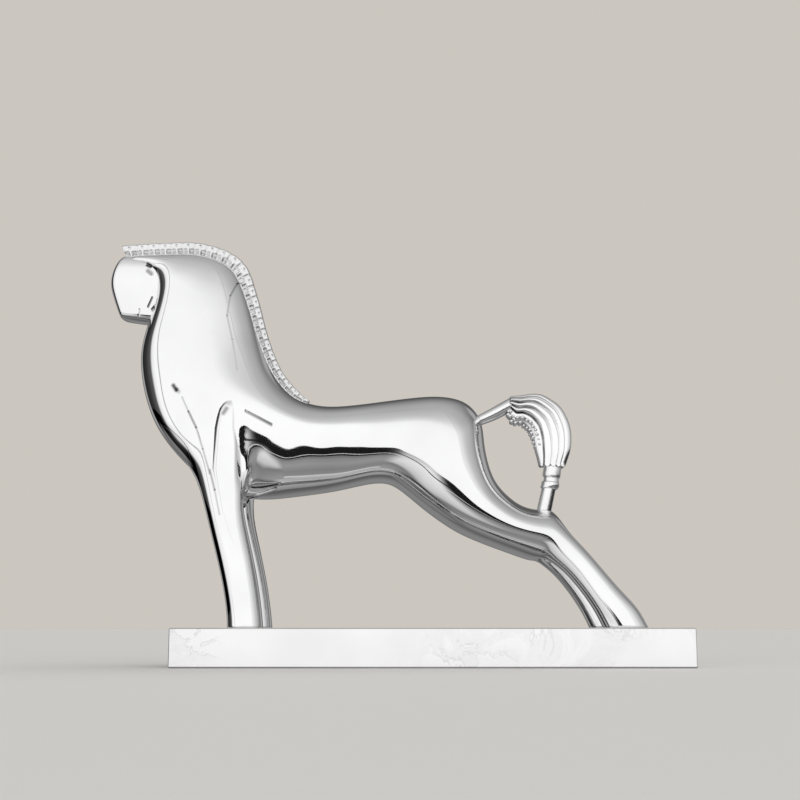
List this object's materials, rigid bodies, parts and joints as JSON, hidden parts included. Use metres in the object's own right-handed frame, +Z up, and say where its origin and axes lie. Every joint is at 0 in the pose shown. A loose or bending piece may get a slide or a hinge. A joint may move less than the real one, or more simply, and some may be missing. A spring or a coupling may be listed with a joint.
{
  "type": "abstract horse sculpture",
  "caption": "Sleek mirror-plated horse with a tucked head, notched mane and looped fluted tail, standing on a thin rectangular plinth.",
  "frame": {"origin": "middle of the plinth's underside, on the surface that the sculpture stands on", "axes": "+Z up, +X along the plinth towards the tail, so the horse faces -X, and +Y across the plinth towards the horse's right side"},
  "size_m": [0.4654, 0.1198, 0.349],
  "materials": {
    "horse_plating": "bright mirror plating over smooth resin",
    "tail_plating": "bright plating over fluted resin",
    "plinth_plating": "bright mirror plating over a flat slab"
  },
  "bodies": {
    "root": {"horse": "horse_plating", "tail": "tail_plating", "plinth": "plinth_plating"}
  },
  "joints": []
}
